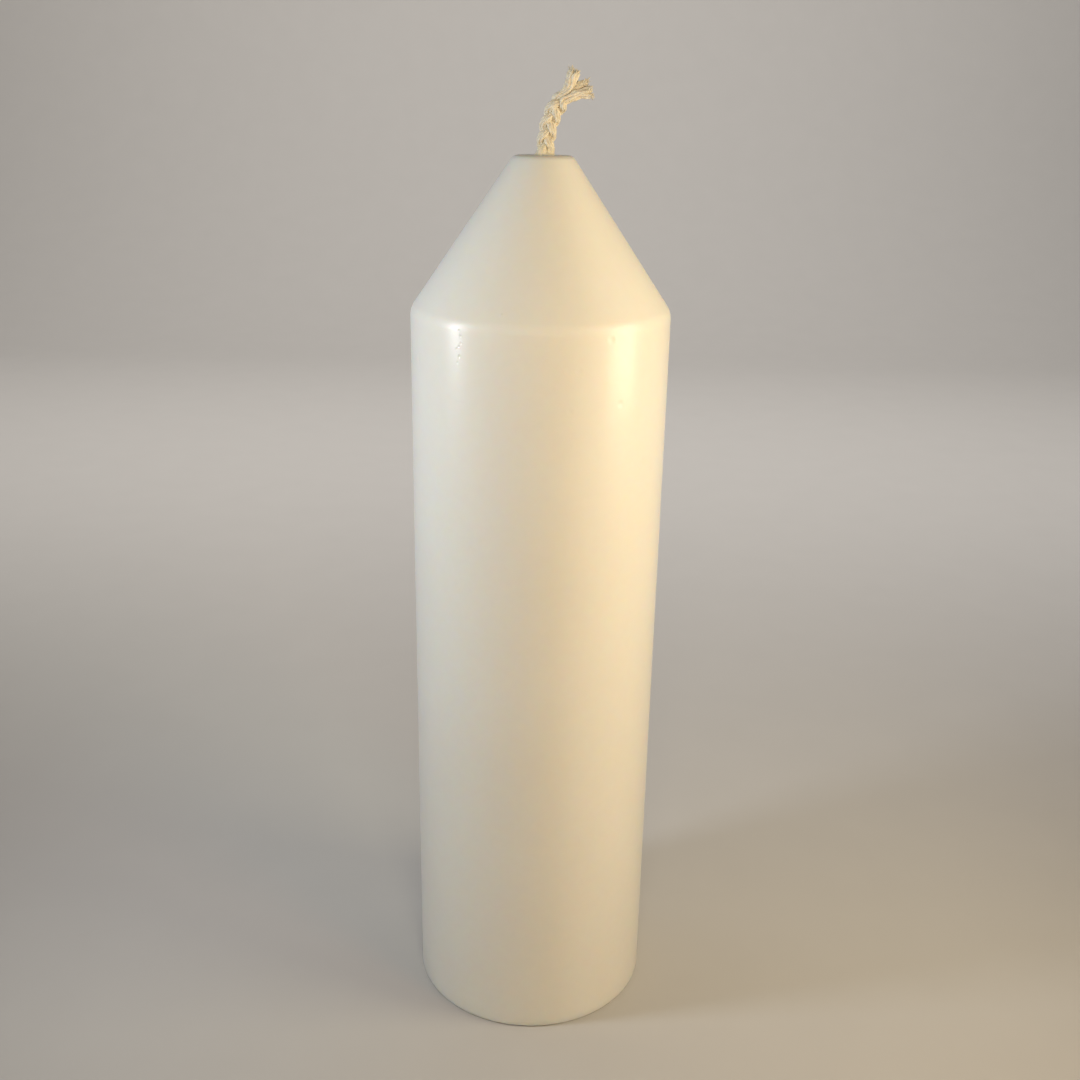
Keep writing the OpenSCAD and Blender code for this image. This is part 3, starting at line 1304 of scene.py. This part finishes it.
    def refine(self, bm: bmesh.types.BMesh) -> None:
        """Splits the faces round each mark, so that its shape is in the mesh.

        Args:
            bm: The pillar.
        """
        fine = [m for m in self.marks if m.kind in (MarkKind.PIT, MarkKind.SCUFF) or m.wide < 0.8]
        for marks, margin in ((self.marks, 1.2 * MM), (fine, 0.35 * MM)):
            faces = bm.faces[:]
            middles = np.array([f.calc_center_median() for f in faces])
            near = np.min([self.away(middles, m) for m in marks], axis=0) < margin
            near &= np.hypot(middles[:, 0], middles[:, 1]) > 0.8 * self.radius
            edges = list({e for k in np.flatnonzero(near) for e in faces[k].edges})
            bmesh.ops.subdivide_edges(bm, edges=edges, cuts=2, use_grid_fill=True)
        bmesh.ops.triangulate(bm, faces=[f for f in bm.faces if len(f.verts) > 4])
        for vert in bm.verts:
            flat = math.hypot(vert.co.x, vert.co.y)
            if 3 * MM < vert.co.z < self.wall_h - 6 * MM and flat > 0.99 * self.radius:
                vert.co.xy *= self.radius / flat

    def shape_collar(self, mesh: bpy.types.Mesh, wick: Wick) -> None:
        """Draws the collar in round the plait, thin and uneven at its lip.

        Args:
            mesh: The pillar.
            wick: The plait.
        """
        rows = coordinates(mesh)
        x = rows[:, 0] - self.wick_x
        y = rows[:, 1]
        flat = np.hypot(x, y)
        collar = (rows[:, 2] > self.top - 1.5 * MM) & (flat < 3.4 * MM)
        angle = np.arctan2(y[collar], x[collar])
        rise = np.clip((rows[collar, 2] - self.top) / self.collar_h, 0.0, 1.0)
        grid = np.linspace(-math.pi, math.pi, 181)
        girth = np.array([wick.girth(s, grid) for s in self.collar_levels]) * MM
        for _ in range(3):
            girth = (np.roll(girth, 1, 1) + girth + np.roll(girth, -1, 1)) / 3
        last = len(self.collar_levels) - 1
        level = np.clip(rise * (last + 1) - 0.5, 0, last)
        low = np.floor(level).astype(int)
        high = np.minimum(low + 1, last)
        reach_low, reach_high = (
            np.array([np.interp(a, grid, girth[k]) for a, k in zip(angle, step)]) for step in (low, high)
        )
        reach = reach_low + (reach_high - reach_low) * (level - low)
        snug = self.collar_snug + (1 - self.collar_snug) * rise
        drawn = self.channel_r + (flat[collar] - self.channel_r) * (1 - self.collar_draw * rise)
        drawn += (reach - self.channel_r) * snug
        rows[collar, 0] = self.wick_x + np.cos(angle) * drawn
        rows[collar, 1] = np.sin(angle) * drawn
        uneven = 0.12 * np.sin(2 * angle + 0.8) + 0.08 * np.sin(5 * angle) - 0.20
        rows[collar, 2] += uneven * rise * self.collar_h
        put_coordinates(mesh, rows)

    def weather(self, mesh: bpy.types.Mesh) -> None:
        """Gives the outside its slow waves, which fade out at the base edge, and its marks.

        Args:
            mesh: The pillar.
        """
        rows = coordinates(mesh)
        way = normals(mesh)
        flat = np.hypot(rows[:, 0], rows[:, 1])
        outside = (flat > 12 * MM) | ((rows[:, 2] > 0.5 * self.top) & (flat > 4.2 * MM))
        outside &= rows[:, 2] > 0.7 * MM
        points = rows[outside]
        lift = sum(height * ripple(points, length * MM, seed) for height, length, seed in self.waves)
        lift *= ease(0.7 * MM, 4 * MM, points[:, 2])
        for mark in self.marks:
            lift += self.dent(points, mark)
        rows[outside] += way[outside] * (lift * MM)[:, None]
        put_coordinates(mesh, rows)

    def dent(self, points: np.ndarray, mark: Mark) -> np.ndarray:
        """Works out how far a mark lifts or sinks each point.

        Args:
            points: Positions on the wax.
            mark: The mark.

        Returns:
            Lift along the surface's normal, in millimetres.
        """
        u, v = (distance / MM for distance in self.beside(points, mark))
        out = np.hypot(2 * u / mark.wide, 2 * v / mark.tall)
        spot = np.exp(-(out**2))
        ring = np.exp(-(((out - 1.5) / 0.45) ** 2))
        if mark.kind is MarkKind.PIT:
            return mark.depth * (0.22 * ring - spot)
        if mark.kind is MarkKind.BUMP:
            return mark.depth * (spot - 0.15 * ring)
        if mark.kind is MarkKind.DENT:
            return mark.depth * (0.18 * ring - spot)
        across = 1 - ease(0.55, 1.1, np.abs(2 * u / mark.wide))
        edge = v - 0.07 * u
        lip = np.exp(-((edge - 0.15) / 0.24) ** 2)
        below = ease(-mark.tall, -0.25, edge) * (1 - ease(-0.22, 0.02, edge))
        return mark.depth * across * (0.55 * lip - below)


# ---------------------------------------------------------------- base plug and tab


@dataclass(frozen=True)
class Bead:
    """The stiffening bead pressed in the tab, which shapes the plug poured under it too."""

    inner_r: float = 6 * MM
    slope: float = 0.6 * MM
    crown: float = 0.8 * MM
    height: float = 0.4 * MM

    def outline(self, base: float) -> list[Point2]:
        """Lays the bead's line from its inner edge to its outer one.

        Args:
            base: Height of the flat that it rises from.

        Returns:
            Points as (distance from the axis, height).
        """
        crown_r = self.inner_r + self.slope
        top = base + self.height
        return [
            (self.inner_r, base), (crown_r, top), (crown_r + self.crown, top),
            (crown_r + self.crown + self.slope, base),
        ]


@dataclass
class BasePlug:
    """Wax poured over the tab: it has shrunk to a dimple and creeps up its edge."""

    bead: Bead = Bead()
    hole_r: float = 0.5 * MM
    edge: float = 0.15 * MM
    corner_r: float = 0.35 * MM
    face_gap: float = 0.35 * MM
    face_hole_r: float = 0.4 * MM
    dimple: float = 0.55 * MM
    dimple_share: float = 0.42
    rings: float = 0.05 * MM
    pucker: float = 0.06 * MM
    sharp_angle: float = math.radians(40)
    steps: int = 144

    def build(self, material: bpy.types.Material) -> None:
        """Makes the plug.

        Args:
            material: The poured wax.
        """
        low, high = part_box("base_plug")
        radius = (high.x - low.x) / 2
        axis_x = (high.x + low.x) / 2
        under = high.z - self.bead.height
        hidden = [
            (self.hole_r, under), *self.bead.outline(under),
            (radius - self.edge, under), (radius, under - self.edge),
        ]
        corner = fillet((radius, under), (radius, low.z), (0.0, low.z), self.corner_r, 4)
        middle = (self.face_hole_r, low.z)
        face = spaced(corner[-1], middle, self.face_gap)
        bm = bmesh.new()
        spin_outline(bm, hidden + corner + face + [middle], axis_x, self.steps, False)
        bmesh.ops.holes_fill(bm, edges=[e for e in bm.edges if e.is_boundary], sides=self.steps)
        bmesh.ops.recalc_face_normals(bm, faces=bm.faces[:])
        piece = finished_object(bm, "base_pour", self.sharp_angle)
        rows = coordinates(piece.data)
        below = rows[:, 2] < low.z + 0.4 * MM
        points = rows[below]
        out = np.hypot(points[:, 0] - axis_x, points[:, 1]) / radius
        lift = self.dimple * np.exp(-((out / self.dimple_share) ** 2))
        lift += self.rings * (1 - np.cos(out * 26)) * (1 - out)
        lift += self.pucker * (1 + ripple(points, 3.5 * MM, 4.0)) * (1 - ease(0.8, 1.0, out))
        rows[below, 2] += lift
        put_coordinates(piece.data, rows)
        piece.data.materials.append(material)
        settle(piece, "base_plug")


@dataclass
class WickTab:
    """The pressed sheet-metal tab, with a stiffening bead and a neck crimped on the wick."""

    bead: Bead = Bead()
    sheet: float = 0.3 * MM
    bore: float = 2.22 * MM
    bore_round: float = 0.5 * MM
    flare: float = 0.8 * MM
    row_gap: float = 0.5 * MM
    edge: float = 0.06 * MM
    crisp_angle: float = math.radians(60)
    sharp_angle: float = math.radians(45)
    crimp: float = 0.16 * MM
    crimp_at: float = 0.66
    crimp_tall: float = 0.16
    crimps: int = 4
    steps: int = 96

    def build(self, material: bpy.types.Material) -> None:
        """Makes the tab.

        Args:
            material: The tinned sheet.
        """
        low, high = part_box("wick_tab")
        radius = (high.x - low.x) / 2
        axis_x = (high.x + low.x) / 2
        neck = self.bore + self.sheet
        disc = [*self.bead.outline(0.0), (radius, 0.0)]
        over = [(r, z + self.sheet) for r, z in reversed(disc)]
        sweep = fillet(over[-1], (neck, self.sheet), (neck, high.z), self.flare, 6)
        bore_in = fillet((neck + self.flare, 0.0), (self.bore, 0.0), (self.bore, high.z), self.bore_round, 4)
        wall = spaced((neck, low.z + self.sheet + self.flare), (neck, high.z), self.row_gap)
        inner = spaced((self.bore, high.z), (self.bore, low.z + self.bore_round), self.row_gap)
        outline = [(r, low.z + z) for r, z in list(reversed(bore_in)) + disc + over + sweep]
        outline += wall + [(neck, high.z), (self.bore, high.z)] + inner
        bm = bmesh.new()
        spin_outline(bm, outline, axis_x, self.steps, True)
        bmesh.ops.recalc_face_normals(bm, faces=bm.faces[:])
        crisp = [e for e in bm.edges if len(e.link_faces) == 2 and e.calc_face_angle() > self.crisp_angle]
        bmesh.ops.bevel(
            bm, geom=crisp, offset=self.edge, offset_type="OFFSET", affect="EDGES",
            segments=2, profile=0.5, material=-1,
        )
        for vert in bm.verts:
            x, y = vert.co.x - axis_x, vert.co.y
            flat = math.hypot(x, y)
            up = (vert.co.z - low.z) / (high.z - low.z)
            if flat < neck + 0.05 * MM and up > 0.3:
                press = max(0.0, math.cos(self.crimps * math.atan2(y, x))) ** 2
                press *= math.exp(-(((up - self.crimp_at) / self.crimp_tall) ** 2))
                vert.co.x = axis_x + x * (1 - self.crimp * press / flat)
                vert.co.y = y * (1 - self.crimp * press / flat)
        piece = finished_object(bm, "pressed_tab", self.sharp_angle)
        piece.data.materials.append(material)
        settle(piece, "wick_tab")


# ---------------------------------------------------------------- studio


@dataclass(frozen=True)
class Softbox:
    """A plain panel light that faces a point."""

    name: str
    azimuth: float
    distance: float
    low: float
    high: float
    width: float
    color: Color
    power: float
    shines: bool = True
    aim: Point3 = (0.0, 0.0, 0.15)


@dataclass
class Studio:
    """Pale floor and backdrop, soft light and the camera."""

    floor_reach: float = 3.0
    bend_at: float = 0.9
    bend_r: float = 0.5
    lens: float = 39.73
    eye: Point3 = (0.0, -0.29587, 0.23763)
    pitch: float = 19.76
    yaw: float = 0.1675
    roll: float = 1.036
    floor_color: Color = (0.51, 0.49, 0.465)
    wall_color: Color = (0.42, 0.41, 0.39)
    room_light: float = 0.04
    boxes: list[Softbox] = field(default_factory=lambda: [
        Softbox("cool_left", -71.5, 0.20, 0.15, 0.26, 0.035, (0.82, 0.89, 1.0), 0.26),
        Softbox("warm_right", 71.0, 0.21, 0.125, 0.275, 0.10, (1.0, 0.90, 0.65), 0.33),
        Softbox("warm_side", 45.0, 0.30, 0.17, 0.27, 0.08, (1.0, 0.46, 0.16), 0.17, shines=False),
        Softbox("front", 3.0, 0.33, 0.26, 0.36, 0.12, (1.0, 0.93, 0.73), 0.50, shines=False),
        Softbox(
            "backdrop_wash", 180.0, 0.30, 0.55, 1.05, 1.60, (1.0, 0.98, 0.96), 14.0,
            shines=False, aim=(0.0, 1.2, 0.35),
        ),
    ])

    def build(self) -> None:
        """Sets up the whole studio."""
        self.lay_floor()
        for box in self.boxes:
            self.hang(box)
        self.paint_room()
        self.place_camera()
        bpy.context.scene.view_settings.view_transform = "Standard"
        LOG.info("studio: %d softboxes", len(self.boxes))

    def paint_room(self) -> None:
        """Makes the room: faint light for the candle, and a pale wall behind the backdrop's edges."""
        world = bpy.data.worlds.new("studio")
        world.use_nodes = True
        bench = NodeBench(world.node_tree)
        faint = world.node_tree.nodes["Background"]
        faint.inputs["Color"].default_value = (1.0, 0.97, 0.93, 1.0)
        faint.inputs["Strength"].default_value = self.room_light
        wall = bench.add("ShaderNodeBackground")
        wall.inputs["Color"].default_value = (*self.wall_color, 1.0)
        mix = bench.add("ShaderNodeMixShader")
        bench.join(bench.add("ShaderNodeLightPath").outputs["Is Camera Ray"], mix.inputs["Fac"])
        bench.join(faint.outputs["Background"], mix.inputs[1])
        bench.join(wall.outputs["Background"], mix.inputs[2])
        bench.join(mix.outputs["Shader"], world.node_tree.nodes["World Output"].inputs["Surface"])
        bpy.context.scene.world = world

    def lay_floor(self) -> None:
        """Makes the floor that curves up into a backdrop."""
        far, bend, r = self.floor_reach, self.bend_at, self.bend_r
        profile = [(-far, 0.0), (bend, 0.0)]
        profile += [(bend + r * math.sin(a), r - r * math.cos(a)) for a in np.linspace(0.1, math.pi / 2, 14)]
        profile.append((bend + r, far))
        bm = bmesh.new()
        verts = [bm.verts.new((-far, y, z)) for y, z in profile]
        edges = [bm.edges.new(pair) for pair in zip(verts, verts[1:])]
        out = bmesh.ops.extrude_edge_only(bm, edges=edges)["geom"]
        moved = [v for v in out if isinstance(v, bmesh.types.BMVert)]
        bmesh.ops.translate(bm, verts=moved, vec=(2 * far, 0.0, 0.0))
        floor = finished_object(bm, "studio_floor", math.radians(60))
        material, bench, shader = new_material("pale_paper")
        grain = bench.noise(bench.add("ShaderNodeTexCoord").outputs["Object"], 40.0, 2.0)
        lighter = tuple(min(1.0, c * 1.04) for c in self.floor_color)
        bench.join(bench.blend(grain, self.floor_color, lighter), shader.inputs["Base Color"])
        shader.inputs["Roughness"].default_value = 0.85
        floor.data.materials.append(material)

    def hang(self, box: Softbox) -> None:
        """Hangs a softbox.

        Args:
            box: The softbox.
        """
        light = bpy.data.lights.new(box.name, "AREA")
        light.shape = "RECTANGLE"
        light.size = box.width
        light.size_y = box.high - box.low
        light.color = box.color
        light.energy = box.power
        lamp = bpy.data.objects.new(box.name, light)
        turn = math.radians(box.azimuth)
        middle = (box.low + box.high) / 2
        spot = Vector((math.sin(turn) * box.distance, -math.cos(turn) * box.distance, middle))
        lamp.location = spot
        lamp.visible_camera = False
        lamp.visible_glossy = box.shines
        lamp.rotation_euler = (Vector(box.aim) - spot).to_track_quat("-Z", "Y").to_euler()
        bpy.context.scene.collection.objects.link(lamp)

    def place_camera(self) -> None:
        """Makes the camera and sets it."""
        pitch, yaw, roll = (math.radians(a) for a in (self.pitch, self.yaw, self.roll))
        flat = Vector((math.sin(yaw), math.cos(yaw), 0.0))
        right = Vector((math.cos(yaw), -math.sin(yaw), 0.0))
        ahead = flat * math.cos(pitch) - Vector((0, 0, 1)) * math.sin(pitch)
        up = flat * math.sin(pitch) + Vector((0, 0, 1)) * math.cos(pitch)
        level = right * math.cos(roll) + up * math.sin(roll)
        upright = up * math.cos(roll) - right * math.sin(roll)
        data = bpy.data.cameras.new("camera")
        data.lens = self.lens
        data.sensor_width = 36.0
        camera = bpy.data.objects.new("camera", data)
        turned = Matrix((level, upright, -ahead)).transposed().to_4x4()
        camera.matrix_world = Matrix.Translation(self.eye) @ turned
        bpy.context.scene.collection.objects.link(camera)
        bpy.context.scene.camera = camera


def main() -> None:
    """Builds the candle piece by piece, then the studio round it."""
    logging.basicConfig(level=logging.INFO, format="%(message)s")
    bloom = WaxBloom()
    twist = FibreTwist()
    ivory = WaxFinish(
        "ivory_wax", pale=(0.87, 0.84, 0.76), deep=(0.83, 0.79, 0.69), smooth=0.285, dull=0.33,
        skin_depth=0.006 * MM, matte_rise=0.12, polish=0.28,
    )
    film = WaxFinish(
        "wax_film", pale=(0.86, 0.78, 0.61), deep=(0.80, 0.70, 0.51), smooth=0.30, dull=0.38,
        skin_depth=0.01 * MM, scatter_depth=0.6 * MM, scatter_weight=0.25,
    )
    poured = WaxFinish(
        "plug_wax", pale=(0.83, 0.78, 0.68), deep=(0.74, 0.68, 0.56), smooth=0.42, dull=0.58,
        skin_depth=0.08 * MM,
    )
    cotton = CottonFinish(
        "wick_cotton", light=(0.89, 0.81, 0.65), shade=(0.70, 0.60, 0.44), soaked=(0.78, 0.69, 0.50),
        soak_from=0.2285, soak_to=0.2335,
    )
    tin = TinFinish("tinned_steel", bright=(0.74, 0.75, 0.77), dull=(0.52, 0.53, 0.55))
    wick = Wick(PlaitRoute(), foot_z=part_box("wick_strand_a")[0].z / MM)
    WaxPillar().build(wick, ivory.material(bloom), film.material(bloom))
    BasePlug().build(poured.material(bloom))
    WickTab().build(tin.material())
    wick.build(cotton.material(twist))
    Studio().build()


if __name__ == "__main__":
    main()
